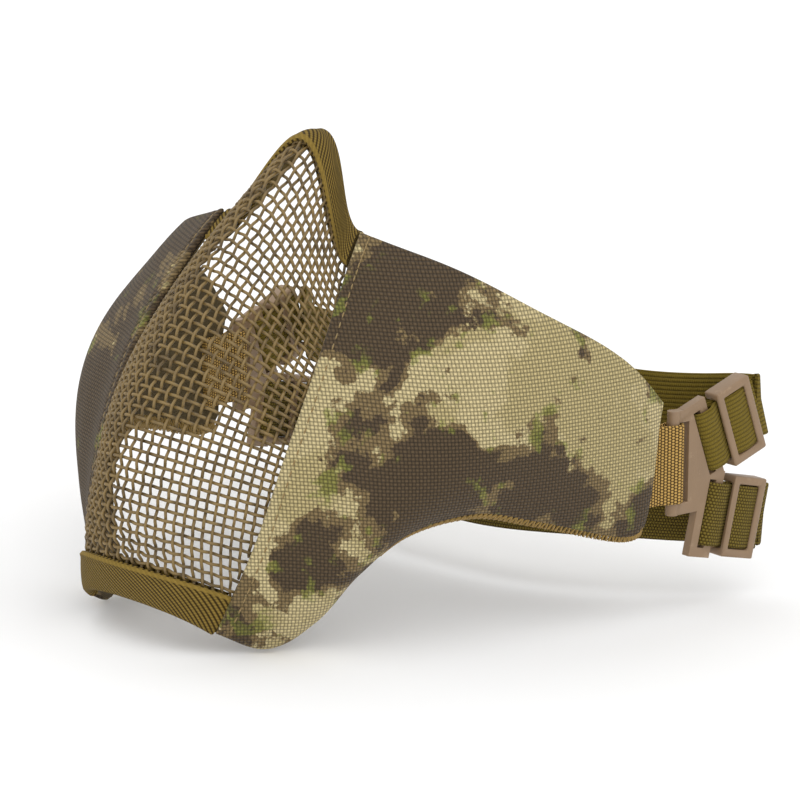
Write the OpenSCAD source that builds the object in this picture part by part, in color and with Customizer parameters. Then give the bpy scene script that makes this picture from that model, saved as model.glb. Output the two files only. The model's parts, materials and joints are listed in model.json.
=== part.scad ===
// Half-face mask of woven steel wire with two padded fabric cheek panels and a two-strap harness.
// +X is the wearer's left, -Y the front, +Z up; the origin is the middle of the face opening.
// The left side is modelled, and the right side is its mirror image in the plane X = 0.

/* [Wire mesh] */
// Half width of the muzzle where the cheek panels start, at mid height
muzzle_half_w = 39; // [30:1:48]
// How far the muzzle stands in front of the cheek seams at the mouth
muzzle_reach = 26; // [15:1:36]
// Height of the nose arch above the tops of the cheek seams
nose_rise = 27; // [20:1:36]
// Thickness of the crimped wire mesh sheet
mesh_t = 1.4; // [1:0.1:2]
// Width of the mesh edge that is sewn under each cheek panel
flange_w = 5; // [3:0.5:8]

/* [Binding tape] */
// Width of the tape leg that shows at the nose
nose_tape_w = 13; // [8:1:18]
// Width of the tape leg that shows at the chin
chin_tape_w = 14; // [8:1:18]
// Thickness of the folded tape
tape_t = 1; // [0.6:0.1:1.6]

/* [Cheek panels] */
// Distance from the middle plane to the rear end of a cheek panel
panel_half_w = 98; // [88:1:108]
// How far each panel bulges forwards beside the mouth
panel_bulge = 9; // [0:1:14]
// Thickness of the outer camouflage fabric
shell_t = 0.8; // [0.5:0.1:1.5]
// Thickness of the foam at the sewn edges
foam_edge_t = 1.2; // [0.8:0.1:2]
// Thickness of the foam at the middle of a panel
foam_mid_t = 4; // [2:0.5:6]
// Thickness of the lining fabric
lining_t = 0.6; // [0.4:0.1:1]
// Diameter of the overlocked thread edge below the cheek
overlock_d = 1.6; // [1:0.1:2.4]
// Length of one seam stitch
stitch_len = 2.4; // [1.5:0.1:3.5]
// Diameter of the sewing thread
thread_d = 0.6; // [0.4:0.1:0.8]

/* [Rings and sliders] */
// Width of the webbing that holds each ring
anchor_w = 25; // [20:1:28]
// Thickness of one layer of that webbing
anchor_t = 1.2; // [0.8:0.1:1.6]
// Radius of the ring's front bar, the pivot inside the webbing loop
bar_r = 2; // [1.5:0.1:2.4]
// Thickness of the moulded ring
ring_t = 3; // [2:0.1:4]
// Clearance around moving and threaded pieces
gap = 0.3; // [0.2:0.05:0.5]
// Turn of each ring away from the middle plane, in degrees
ring_yaw = 8; // [0:1:15]
// Length of a slider along the strap
slider_len = 14; // [12:1:18]
// Size of a slider's bars and rails across the strap
slider_bar = 2.6; // [2:0.1:3.2]
// Height of a slider's rails through the strap
slider_h = 6.4; // [6:0.1:8]

/* [Straps] */
// Width of the elastic straps
strap_w = 20; // [16:1:22]
// Thickness of one layer of elastic
strap_t = 1.3; // [0.9:0.1:1.6]
// Upward tilt of the upper strap end, in degrees
upper_tilt = 20; // [10:1:30]
// Downward tilt of the lower strap end, in degrees
lower_tilt = 13; // [5:1:20]

/* [Hidden] */

// Colours
camo = [0.62, 0.57, 0.42];
olive = [0.48, 0.40, 0.18];
tan_wire = [0.52, 0.43, 0.30];
tan_plastic = [0.58, 0.48, 0.38];
gold_tan = [0.72, 0.56, 0.32];

// Seam between the mesh and the left cheek panel, from the chin up, and on to the panel's top corner
seam_top = [muzzle_half_w - 9, 0, 54];
seam = [
    [muzzle_half_w - 11, -60, -58], [muzzle_half_w - 3, -50, -32], [muzzle_half_w, -39, -5],
    [muzzle_half_w - 1, -25, 20], [muzzle_half_w - 6, -9, 43], seam_top
];
// Middle line of the muzzle from the chin to the nose
ridge = [
    [0, -44 - muzzle_reach, -50], [0, -48 - muzzle_reach, -23], [0, -37 - muzzle_reach, 10],
    [0, -10 - muzzle_reach, 46], [0, 0, seam_top[2] + nose_rise - 4],
    [0, 12, seam_top[2] + nose_rise]
];
// Upper and lower edges of the left cheek panel, from the seam to the rear corners
panel_top = [
    seam_top, [panel_half_w - 39, 11, 45], [panel_half_w - 17, 29, 30],
    [panel_half_w - 5, 48, 17], [panel_half_w, 60, 4]
];
panel_low = [
    [muzzle_half_w - 11, -60, -58], [muzzle_half_w - 4, -46, -63], [muzzle_half_w + 5, -37, -55],
    [muzzle_half_w + 15, -30, -40], [panel_half_w - 32, -19, -26], [panel_half_w - 20, -1, -21],
    [panel_half_w - 11, 18, -26], [panel_half_w - 3, 46, -35.5], [panel_half_w - 1.5, 54, -32]
];
panel_rear = [panel_low[8], [panel_half_w - 0.5, 56, -12], panel_top[4]];

// Smooth curve through the points of a list, for t from 0 to 1
function spline(list, t) =
    let (last = len(list) - 1, k = min(floor(t * last), last - 1), f = t * last - k)
    let (b = list[k], c = list[k + 1])
    let (a = k > 0 ? list[k - 1] : 2 * b - c, d = k + 2 <= last ? list[k + 2] : 2 * c - b)
    0.5 * (2 * b + (c - a) * f + (2 * a - 5 * b + 4 * c - d) * f * f
        + (3 * b - a - 3 * c + d) * f * f * f);
function unit(v) = v / norm(v);
function mix(a, b, f) = a * (1 - f) + b * f;

// Cheek panel surface: s runs from the seam to the rear, t from the lower edge to the upper edge
bulge_dir = [0.6, -0.8, 0];
function bulge(s, t) = panel_bulge * 6.75 * s * pow(1 - s, 2) * sin(180 * pow(t, 0.7));
function panel(s, t) =
    bulge_dir * bulge(s, t)
    + mix(spline(panel_low, s), spline(panel_top, s), t)
    + mix(spline(seam, t), spline(panel_rear, t), s)
    - mix(mix(panel_low[0], panel_top[0], t), mix(panel_low[8], panel_top[4], t), s);
function panel_normal(s, t) =
    let (e = 0.004, ds = s > 0.5 ? -e : e, dt = t > 0.5 ? -e : e, p = panel(s, t))
    let (n = cross((panel(s + ds, t) - p) / ds, (panel(s, t + dt) - p) / dt))
    unit(n);
function panel_at(s, t, height) = panel(s, t) + panel_normal(s, t) * height;
// Share of the foam's extra thickness: none at the sewn edges, all of it in the middle
function crown(s, t) = pow(max(0, sin(180 * s) * sin(180 * t)), 0.5);
lining_z = mesh_t / 2 + gap;
function foam_t(s, t) = foam_edge_t + (foam_mid_t - foam_edge_t) * crown(s, t);

// Muzzle surface: a from 0 at the left seam to 1 at the right seam, v from the chin to the nose
function nose_share(v) = pow(min(1, max(0, v - 0.35) / 0.5), 2.2);
function roundness(v) =
    [1, 1] + [0.25, 0.7] * min(1, 4 * v) + [-0.15, 2.7] * nose_share(v);
function half_muzzle(angle, v) =
    let (edge = spline(seam, v), front = spline(ridge, v), r = roundness(v))
    let (c = pow(max(0, cos(angle)), r[0]), h = pow(max(0, sin(angle)), r[1]))
    [edge[0] * c, mix(edge[1], front[1], h), mix(edge[2], front[2], h)];
function flip(p, side) = [p[0] * side, p[1], p[2]];
function muzzle(a, v) =
    a <= 0.5 ? half_muzzle(180 * a, v) : flip(half_muzzle(180 * (1 - a), v), -1);
function muzzle_normal(a, v) =
    let (e = 0.01, a0 = min(max(a, e), 1 - e), v0 = min(max(v, e), 1 - e))
    unit(cross(muzzle(a0 + e, v0) - muzzle(a0 - e, v0), muzzle(a0, v0 + e) - muzzle(a0, v0 - e)));
function muzzle_at(a, v, height) = muzzle(a, v) - muzzle_normal(a, v) * height;

// Closed solid between two grids of points of the same size; grid[row][column]
module slab(outer, inner) {
    rows = len(outer);
    cols = len(outer[0]);
    count = rows * cols;
    points = [for (g = [outer, inner]) for (row = g) for (p = row) p];
    faces = [
        for (i = [0:rows - 2]) for (j = [0:cols - 2])
            let (q = i * cols + j)
            for (f = [
                [q, q + cols, q + cols + 1], [q, q + cols + 1, q + 1],
                [count + q, count + q + cols + 1, count + q + cols],
                [count + q, count + q + 1, count + q + cols + 1]
            ]) f,
        for (i = [0:rows - 2])
            for (e = [[i * cols, 0], [i * cols + cols - 1, 1]])
                let (q = e[0], w = q + cols)
                for (f = e[1] == 0 ? [[q, count + q, count + w], [q, count + w, w]]
                    : [[q, count + w, count + q], [q, w, count + w]]) f,
        for (j = [0:cols - 2])
            for (e = [[j, 0], [(rows - 1) * cols + j, 1]])
                let (q = e[0], w = q + 1)
                for (f = e[1] == 0 ? [[q, count + w, count + q], [q, w, count + w]]
                    : [[q, count + q, count + w], [q, count + w, w]]) f
    ];
    polyhedron(points, faces, convexity = 8);
}

// Closed tube through rings of points that all have the same number of corners
module loft(rings) {
    last = len(rings) - 1;
    n = len(rings[0]);
    points = [for (ring = rings) for (p = ring) p];
    faces = concat(
        [[for (j = [0:n - 1]) j]],
        [for (i = [0:last - 1]) for (j = [0:n - 1])
            let (q = i * n + j, w = i * n + (j + 1) % n)
            for (f = [[q, q + n, w + n], [q, w + n, w]]) f],
        [[for (j = [n - 1:-1:0]) last * n + j]]
    );
    polyhedron(points, faces, convexity = 8);
}

module mirrored(side) {
    if (side > 0) children();
    else mirror([1, 0, 0]) children();
}

// ---- wire mesh and its binding tapes ----

mesh_cols = 30;
mesh_rows = 24;
panel_len = 130;
flange_s = flange_w / panel_len;
module wire_mesh() {
    function sheet(h) = [for (i = [0:mesh_rows]) let (v = i / mesh_rows) concat(
        [panel_at(flange_s, v, -h)],
        [for (j = [0:mesh_cols]) muzzle_at(j / mesh_cols, v, -h)],
        [flip(panel_at(flange_s, v, -h), -1)]
    )];
    color(tan_wire) slab(sheet(mesh_t / 2), sheet(-mesh_t / 2));
}

// Folded tape over a mesh edge: edge_v is 0 or 1, leg the width that shows, height the local length of
// the mesh up its whole side and a0 where the tape starts
tape_steps = 4;
nose_tape_height = 78;
chin_tape_height = 168;
edge_probe = 0.02;
module binding(edge_v, leg, height, a0) {
    depth = leg / height;
    dir = edge_v == 0 ? 1 : -1;
    reach = mesh_t / 2 + gap;
    function at_depth(a, d, h) = muzzle_at(a, edge_v + dir * d, h);
    function over_edge(a, out, h) =
        let (p = muzzle(a, edge_v), q = muzzle(a, edge_v + dir * edge_probe))
        p + unit(p - q) * out - muzzle_normal(a, edge_v) * h;
    function section(a) = concat(
        [for (k = [tape_steps:-1:0]) at_depth(a, depth * k / tape_steps, -reach - tape_t)],
        [over_edge(a, gap + tape_t, -reach / 2), over_edge(a, gap + tape_t, reach / 2)],
        [for (k = [0:tape_steps]) at_depth(a, depth * k / tape_steps, reach + tape_t)],
        [for (k = [tape_steps:-1:0]) at_depth(a, depth * k / tape_steps, reach)],
        [over_edge(a, gap, reach), over_edge(a, gap, -reach)],
        [for (k = [0:tape_steps]) at_depth(a, depth * k / tape_steps, -reach)]
    );
    j0 = round(a0 * mesh_cols);
    last = mesh_cols - j0;
    color(olive) loft([for (j = [j0:last]) section((dir > 0 ? j : j0 + last - j) / mesh_cols)]);
}
module nose_binding() { binding(1, nose_tape_w, nose_tape_height, 0.1); }
module chin_binding() { binding(0, chin_tape_w, chin_tape_height, 0.067); }

// ---- cheek panels ----

panel_cols = 22;
panel_rows = 12;
// Points on top of the lining's underside, the lining, the foam or the shell: part from 0 to 3
function panel_grid(part) = [for (i = [0:panel_rows]) let (t = i / panel_rows)
    [for (j = [0:panel_cols]) let (s = j / panel_cols)
        panel_at(s, t, lining_z + (part > 0 ? lining_t : 0)
            + (part > 1 ? foam_t(s, t) : 0) + (part > 2 ? shell_t : 0))]];
module cheek_shell(side) {
    color(camo) mirrored(side) slab(panel_grid(3), panel_grid(2));
}
module cheek_foam(side) {
    color("dimgray") mirrored(side) slab(panel_grid(2), panel_grid(1));
}
module cheek_lining(side) {
    color(olive) mirrored(side) slab(panel_grid(1), panel_grid(0));
}

// Thread-covered edge below the cheek, outside the panel's lower edge
overlock_sides = 8;
overlock_rings = 18;
overlock_start = 0.42;
overlock_end = 0.9;
module cheek_overlock(side) {
    mid = lining_z + lining_t + foam_edge_t / 2;
    function ring(s) =
        let (n = panel_normal(s, 0), down = unit(panel(s, 0) - panel(s, edge_probe)))
        let (c = panel_at(s, 0, mid) + down * (overlock_d / 2 + gap))
        [for (k = [0:overlock_sides - 1]) let (w = 360 * k / overlock_sides)
            c + (n * cos(w) + down * sin(w)) * overlock_d / 2];
    color(gold_tan) mirrored(side)
        loft([for (j = [0:overlock_rings]) ring(mix(overlock_start, overlock_end, j / overlock_rings))]);
}

// Running stitches through the panel beside the seam
stitch_count = 30;
stitch_s = 0.03;
module seam_stitches(side) {
    color("saddlebrown") mirrored(side)
        for (k = [1:stitch_count - 1]) {
            t = k / stitch_count;
            above = foam_t(stitch_s, t) + shell_t + thread_d / 2 + gap / 2;
            along = unit(panel(stitch_s, t + 0.01) - panel(stitch_s, t - 0.01));
            translate(panel_at(stitch_s, t, lining_z + lining_t + above))
                rotate([0, acos(along[2]), atan2(along[1], along[0])])
                    cylinder(d = thread_d, h = stitch_len, center = true, $fn = 16);
        }
}

// ---- rings and the webbing that holds them ----

bar_at = [panel_half_w + 2, 65, -16];
// Places a child from the ring's own axes: X outwards, Y rearwards, Z along the front bar
module at_ring(side) {
    mirrored(side) translate(bar_at) rotate([0, 0, -ring_yaw]) children();
}
anchor_in = bar_r + gap;
anchor_out = anchor_in + anchor_t;
anchor_tail = 18;
anchor_join = 5;
module ring_anchor(side) {
    color(gold_tan) at_ring(side)
        linear_extrude(height = anchor_w, center = true)
            difference() {
                union() {
                    circle(r = anchor_out, $fn = 64);
                    polygon([[-anchor_out, 0], [-anchor_t, -anchor_join], [-anchor_t, -anchor_tail],
                        [anchor_t, -anchor_tail], [anchor_t, -anchor_join], [anchor_out, 0]]);
                }
                circle(r = anchor_in, $fn = 64);
                polygon([[-anchor_in, 0], [0, -anchor_join], [anchor_in, 0]]);
            }
}
// Row of bar tacks across the webbing tail
tack_half = 3;
module anchor_stitches(side) {
    color("darkgoldenrod") at_ring(side)
        for (z = [-tack_half:tack_half])
            translate([anchor_t + thread_d / 2 + gap / 3, -anchor_join - thread_d, z * anchor_w / 8])
                cylinder(d = thread_d, h = stitch_len, center = true, $fn = 16);
}

// The front slot runs from the bar to front_slot_y; the two strap slots lie behind it
slot_margin = 1.2;
front_slot_y = anchor_out + 2 * gap + slot_margin;
ring_rim = 3;
bar_end = 0.7;
ring_half_h = anchor_w / 2 + gap + ring_rim + bar_end;
strap_slot = [2.8, strap_w + 1.8];
web_top = 8;
// Centres of the two strap slots in the ring's plane, as [Y, Z]
upper_slot = [front_slot_y + 6.7, strap_w / 2 - 5];
lower_slot = [front_slot_y + 8.2, -strap_w / 2 - 8];
module at_slot_flat(centre, tilt) {
    translate(centre) rotate(tilt) children();
}
module ring_outline() {
    rim = [2 * ring_rim, 2 * ring_rim];
    translate([0, -ring_half_h]) square([front_slot_y + ring_rim, 2 * ring_half_h]);
    translate([front_slot_y, -ring_half_h]) square([lower_slot[0] - front_slot_y, ring_half_h + web_top]);
    at_slot_flat(upper_slot, upper_tilt) square(strap_slot + rim, center = true);
    at_slot_flat(lower_slot, -lower_tilt) square(strap_slot + rim, center = true);
}
module ring(side) {
    color(tan_plastic) at_ring(side) {
        cylinder(r = bar_r, h = 2 * ring_half_h, center = true, $fn = 48);
        rotate([90, 0, 90])
            linear_extrude(height = ring_t, center = true)
                difference() {
                    ring_outline();
                    translate([-1, -anchor_w / 2 - gap]) square([front_slot_y + 1, anchor_w + 2 * gap]);
                    at_slot_flat(upper_slot, upper_tilt) square(strap_slot, center = true);
                    at_slot_flat(lower_slot, -lower_tilt) square(strap_slot, center = true);
                }
    }
}

// Places a child at a strap slot: X outwards, Y along the strap, Z across it
module at_slot(side, centre, tilt) {
    at_ring(side) translate([0, centre[0], centre[1]]) rotate([tilt, 0, 0]) children();
}
strap_in = ring_t / 2 + gap;
strap_end_len = 24;
ply_half = strap_t + 0.05;
// The strap goes round the ring's rear rim between loop_low and loop_end, and lies flat from loop_flat on
loop_low = 0.7;
loop_top = 0.4;
loop_end = 5;
loop_flat = 7.5;
loop_inner = 6.8;
module strap_end(side, centre, tilt) {
    out = strap_in + strap_t;
    color(olive) at_slot(side, centre, tilt)
        linear_extrude(height = strap_w, center = true)
            difference() {
                polygon([
                    [strap_in, -loop_low], [out, loop_top], [out, loop_end], [ply_half, loop_flat],
                    [ply_half, strap_end_len], [-ply_half, strap_end_len], [-ply_half, loop_flat],
                    [-out, loop_end], [-out, loop_top], [-strap_in, -loop_low]
                ]);
                polygon([
                    [strap_in, loop_low], [strap_in, loop_end], [0, loop_inner],
                    [-strap_in, loop_end], [-strap_in, loop_low]
                ]);
            }
}

// Three-bar slider: front and rear bars outside the strap, centre bar inside it
slider_at = loop_flat + 0.5 + slider_len / 2;
module slider(side, centre, tilt) {
    rail_z = strap_w / 2 + gap + slider_bar / 2;
    strap_face = ply_half + gap;
    bar_t = slider_h / 2 - strap_face;
    color(tan_plastic) at_slot(side, centre, tilt) translate([0, slider_at, 0]) {
        for (z = [-rail_z, rail_z])
            translate([0, 0, z]) cube([slider_h, slider_len, slider_bar], center = true);
        for (y = [-1, 1])
            translate([strap_face + bar_t / 2, y * (slider_len - slider_bar) / 2, 0])
                cube([bar_t, slider_bar, 2 * rail_z], center = true);
        translate([-strap_face - bar_t / 2, 0, 0]) cube([bar_t, slider_bar, 2 * rail_z], center = true);
    }
}

// ---- elastic straps between the two sides ----

// Middle line of each strap's left half, from the end of its doubled part to the middle plane
route_out = bar_at[0] + 4;
upper_route = [
    [route_out, 101, -3], [route_out - 3, 103, -3], [route_out - 7, 99, -3], [route_out - 16, 88, -3],
    [route_out - 28, 77, -2], [route_out - 48, 67, 0], [(route_out - 44) / 2, 61, 1], [0, 59, 1]
];
lower_route = [
    [route_out, 104, -39], [route_out - 3, 105, -39], [route_out - 7, 101, -39], [route_out - 16, 88, -38],
    [route_out - 28, 76, -37], [route_out - 48, 64, -37], [(route_out - 44) / 2, 57, -38], [0, 55, -38]
];
function lean(k, tilt) = tilt * max(0, 1 - k / 4);
function half_strap(route, tilt) = [for (k = [0:len(route) - 1])
    let (here = route[k], ahead = k + 1 < len(route) ? route[k + 1] : here + [-1, 0, 0])
    let (behind = k > 0 ? route[k - 1] : here + [1, -1, 0] * 3)
    let (run = unit(ahead - behind), across = [0, -sin(lean(k, tilt)), cos(lean(k, tilt))])
    let (face = unit(cross(run, across)), w = across * strap_w / 2, h = face * strap_t / 2)
    [here + w + h, here - w + h, here - w - h, here + w - h]];
module strap(route, tilt) {
    left = half_strap(route, tilt);
    right = [for (k = [len(left) - 2:-1:0]) [for (corner = left[k]) flip(corner, -1)]];
    color(olive) loft(concat(left, right));
}
module upper_strap() { strap(upper_route, upper_tilt); }
module lower_strap() { strap(lower_route, -lower_tilt); }

wire_mesh();
nose_binding();
chin_binding();
cheek_shell(1);  // cheek_shell_left
cheek_shell(-1);  // cheek_shell_right
cheek_foam(1);  // cheek_foam_left
cheek_foam(-1);  // cheek_foam_right
cheek_lining(1);  // cheek_lining_left
cheek_lining(-1);  // cheek_lining_right
cheek_overlock(1);  // cheek_overlock_left
cheek_overlock(-1);  // cheek_overlock_right
seam_stitches(1);  // seam_stitches_left
seam_stitches(-1);  // seam_stitches_right
ring_anchor(1);  // ring_anchor_left
ring_anchor(-1);  // ring_anchor_right
anchor_stitches(1);  // anchor_stitches_left
anchor_stitches(-1);  // anchor_stitches_right
ring(1);  // ring_left
ring(-1);  // ring_right
strap_end(1, upper_slot, upper_tilt);  // upper_strap_end_left
strap_end(-1, upper_slot, upper_tilt);  // upper_strap_end_right
strap_end(1, lower_slot, -lower_tilt);  // lower_strap_end_left
strap_end(-1, lower_slot, -lower_tilt);  // lower_strap_end_right
slider(1, upper_slot, upper_tilt);  // upper_slider_left
slider(-1, upper_slot, upper_tilt);  // upper_slider_right
slider(1, lower_slot, -lower_tilt);  // lower_slider_left
slider(-1, lower_slot, -lower_tilt);  // lower_slider_right
upper_strap();
lower_strap();
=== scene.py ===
"""Looks of a half-face wire mesh mask with padded camouflage cheek panels and a two-strap harness."""

from __future__ import annotations

import json
import logging
import math
from dataclasses import dataclass
from enum import Enum
from functools import cached_property
from typing import Callable, Iterable, Sequence

import bmesh
import bpy
import numpy as np
from mathutils import Matrix, Vector

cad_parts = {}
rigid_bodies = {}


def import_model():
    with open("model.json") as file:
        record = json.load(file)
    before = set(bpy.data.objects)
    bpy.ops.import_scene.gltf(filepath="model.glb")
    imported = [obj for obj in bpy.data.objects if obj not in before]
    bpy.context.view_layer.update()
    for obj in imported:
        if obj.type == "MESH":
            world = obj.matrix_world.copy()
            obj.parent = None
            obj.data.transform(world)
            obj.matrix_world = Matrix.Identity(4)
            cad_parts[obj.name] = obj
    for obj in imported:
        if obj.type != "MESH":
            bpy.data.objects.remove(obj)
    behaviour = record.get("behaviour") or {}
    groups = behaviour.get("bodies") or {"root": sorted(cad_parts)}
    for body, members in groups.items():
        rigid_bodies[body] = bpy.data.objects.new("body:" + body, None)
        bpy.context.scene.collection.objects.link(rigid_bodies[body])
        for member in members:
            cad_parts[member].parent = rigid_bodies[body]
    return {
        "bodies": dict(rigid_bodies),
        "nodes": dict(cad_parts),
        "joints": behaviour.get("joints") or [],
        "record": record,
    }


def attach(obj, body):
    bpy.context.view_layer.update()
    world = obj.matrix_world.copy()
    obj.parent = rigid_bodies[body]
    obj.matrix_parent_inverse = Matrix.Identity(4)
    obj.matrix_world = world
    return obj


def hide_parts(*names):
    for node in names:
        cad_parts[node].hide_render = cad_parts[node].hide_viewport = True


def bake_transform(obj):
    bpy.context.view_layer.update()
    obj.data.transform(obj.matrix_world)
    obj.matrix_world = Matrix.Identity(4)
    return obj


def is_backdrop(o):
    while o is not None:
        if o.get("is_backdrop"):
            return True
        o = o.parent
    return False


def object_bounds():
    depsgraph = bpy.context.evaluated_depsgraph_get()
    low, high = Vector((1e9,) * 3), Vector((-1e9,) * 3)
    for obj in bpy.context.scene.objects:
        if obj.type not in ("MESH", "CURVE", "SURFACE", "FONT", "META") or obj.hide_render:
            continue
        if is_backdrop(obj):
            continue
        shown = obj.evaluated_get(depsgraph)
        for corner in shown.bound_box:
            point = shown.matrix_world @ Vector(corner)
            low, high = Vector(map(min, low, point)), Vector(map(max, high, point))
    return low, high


LOG = logging.getLogger("mask")
MM = 0.001
WELD = 1e-7
CAD_WELD = 2e-6
SHARP = math.radians(60)
FINE = 600


class Side(Enum):
    """A side of the wearer's face: the value is the sign of X there."""

    LEFT = 1
    RIGHT = -1

    @property
    def word(self) -> str:
        """The side's name as the nodes and bodies use it."""
        return self.name.lower()


# ---------------------------------------------------------------- shape


def vec(*parts: float) -> np.ndarray:
    """A vector of millimetres, in metres."""
    return np.array(parts, dtype=float) * MM


def unit(v: np.ndarray) -> np.ndarray:
    """The vector at length 1."""
    return v / max(float(np.linalg.norm(v)), 1e-12)


def spline(points: Sequence[np.ndarray], t: float) -> np.ndarray:
    """Smooth curve through evenly timed points.

    Args:
        points: the points it passes through.
        t: 0 at the first point, 1 at the last.

    Returns:
        The point at t.
    """
    last = len(points) - 1
    k = min(int(math.floor(t * last)), last - 1)
    f = t * last - k
    b, c = points[k], points[k + 1]
    a = points[k - 1] if k > 0 else 2 * b - c
    d = points[k + 2] if k + 2 <= last else 2 * c - b
    return 0.5 * (
        2 * b + (c - a) * f + (2 * a - 5 * b + 4 * c - d) * f**2 + (3 * b - a - 3 * c + d) * f**3
    )


@dataclass(frozen=True)
class MaskForm:
    """The mask's surfaces, with the same points and rules as the CAD part. The left side is worked out.

    The sizes are in millimetres, and the points that the methods give are in metres.

    Attributes:
        muzzle_half_w: half width of the muzzle at the seams.
        reach: how far the muzzle stands in front of the seams.
        nose_rise: height of the nose arch above the seam tops.
        panel_half_w: distance from the middle plane to the panels' rear ends.
        bulge: how far a panel bulges forwards beside the mouth.
        mesh_t: thickness of the wire sheet.
        gap: clearance between layers.
        lining_t: thickness of the lining.
        foam_edge_t, foam_mid_t: thickness of the foam at a panel's edge and in its middle.
        shell_t: thickness of the printed cloth.
    """

    muzzle_half_w: float = 39.0
    reach: float = 26.0
    nose_rise: float = 27.0
    panel_half_w: float = 98.0
    bulge: float = 9.0
    mesh_t: float = 1.4
    gap: float = 0.3
    lining_t: float = 0.6
    foam_edge_t: float = 1.2
    foam_mid_t: float = 4.0
    shell_t: float = 0.8

    @cached_property
    def seam(self) -> list[np.ndarray]:
        """Seam between the mesh and the left panel, from the chin up."""
        w = self.muzzle_half_w
        return [
            vec(w - 11, -60, -58), vec(w - 3, -50, -32), vec(w, -39, -5),
            vec(w - 1, -25, 20), vec(w - 6, -9, 43), vec(w - 9, 0, 54),
        ]

    @cached_property
    def ridge(self) -> list[np.ndarray]:
        """Middle line of the muzzle, from the chin to the nose."""
        r, top = self.reach, 54 + self.nose_rise
        return [
            vec(0, -44 - r, -50), vec(0, -48 - r, -23), vec(0, -37 - r, 10),
            vec(0, -10 - r, 46), vec(0, 0, top - 4), vec(0, 12, top),
        ]

    @cached_property
    def panel_top(self) -> list[np.ndarray]:
        """Upper edge of the left panel."""
        p = self.panel_half_w
        return [
            self.seam[-1], vec(p - 39, 11, 45), vec(p - 17, 29, 30), vec(p - 5, 48, 17), vec(p, 60, 4),
        ]

    @cached_property
    def panel_low(self) -> list[np.ndarray]:
        """Lower edge of the left panel."""
        w, p = self.muzzle_half_w, self.panel_half_w
        return [
            vec(w - 11, -60, -58), vec(w - 4, -46, -63), vec(w + 5, -37, -55), vec(w + 15, -30, -40),
            vec(p - 32, -19, -26), vec(p - 20, -1, -21), vec(p - 11, 18, -26), vec(p - 3, 46, -35.5),
            vec(p - 1.5, 54, -32),
        ]

    @cached_property
    def panel_rear(self) -> list[np.ndarray]:
        """Rear edge of the left panel, from the lower corner up."""
        return [self.panel_low[-1], vec(self.panel_half_w - 0.5, 56, -12), self.panel_top[-1]]

    def panel(self, s: float, t: float) -> np.ndarray:
        """Point of the left panel's base surface.

        Args:
            s: 0 at the seam, 1 at the rear edge.
            t: 0 at the lower edge, 1 at the upper edge.

        Returns:
            The point.
        """
        low, top, seam, rear = self.panel_low, self.panel_top, self.seam, self.panel_rear
        swell = self.bulge * 6.75 * s * (1 - s) ** 2 * math.sin(math.pi * max(t, 0.0) ** 0.7) * MM
        edge_t = spline(low, s) * (1 - t) + spline(top, s) * t
        edge_s = spline(seam, t) * (1 - s) + spline(rear, t) * s
        corners = (low[0] * (1 - t) + top[0] * t) * (1 - s) + (low[-1] * (1 - t) + top[-1] * t) * s
        return np.array([0.6, -0.8, 0.0]) * swell + edge_t + edge_s - corners

    def panel_normal(self, s: float, t: float) -> np.ndarray:
        """Outward direction of the left panel at a point."""
        step = 0.004
        ds = -step if s > 0.5 else step
        dt = -step if t > 0.5 else step
        p = self.panel(s, t)
        return unit(np.cross((self.panel(s + ds, t) - p) / ds, (self.panel(s, t + dt) - p) / dt))

    def panel_at(self, s: float, t: float, height: float) -> np.ndarray:
        """Point at a height in metres above the left panel's base surface."""
        return self.panel(s, t) + self.panel_normal(s, t) * height

    def foam(self, s: float, t: float) -> float:
        """Foam thickness at a point of a panel, in metres."""
        crown = max(0.0, math.sin(math.pi * s) * math.sin(math.pi * t)) ** 0.5
        return (self.foam_edge_t + (self.foam_mid_t - self.foam_edge_t) * crown) * MM

    def roundness(self, v: float) -> tuple[float, float]:
        """Exponents of the muzzle's cross-section at a height share."""
        nose = min(1.0, max(0.0, v - 0.35) / 0.5) ** 2.2
        mouth = min(1.0, 4 * v)
        return 1 + 0.25 * mouth - 0.15 * nose, 1 + 0.7 * mouth + 2.7 * nose

    def muzzle(self, a: float, v: float) -> np.ndarray:
        """Point of the muzzle.

        Args:
            a: 0 at the left seam, 0.5 on the middle line, 1 at the right seam.
            v: 0 at the chin, 1 at the nose.

        Returns:
            The point.
        """
        side = 1.0 if a <= 0.5 else -1.0
        angle = math.pi * (a if a <= 0.5 else 1 - a)
        edge, front = spline(self.seam, v), spline(self.ridge, v)
        power_x, power_h = self.roundness(v)
        c = max(0.0, math.cos(angle)) ** power_x
        h = max(0.0, math.sin(angle)) ** power_h
        rest = edge * (1 - h) + front * h
        return np.array([edge[0] * c * side, rest[1], rest[2]])

    def muzzle_normal(self, a: float, v: float) -> np.ndarray:
        """Outward direction of the muzzle at a point."""
        step = 0.01
        a0, v0 = min(max(a, step), 1 - step), min(max(v, step), 1 - step)
        across = self.muzzle(a0 + step, v0) - self.muzzle(a0 - step, v0)
        return -unit(np.cross(across, self.muzzle(a0, v0 + step) - self.muzzle(a0, v0 - step)))

    def muzzle_at(self, a: float, v: float, height: float) -> np.ndarray:
        """Point at a height in metres outside the muzzle."""
        return self.muzzle(a, v) + self.muzzle_normal(a, v) * height


# ---------------------------------------------------------------- meshes


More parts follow.
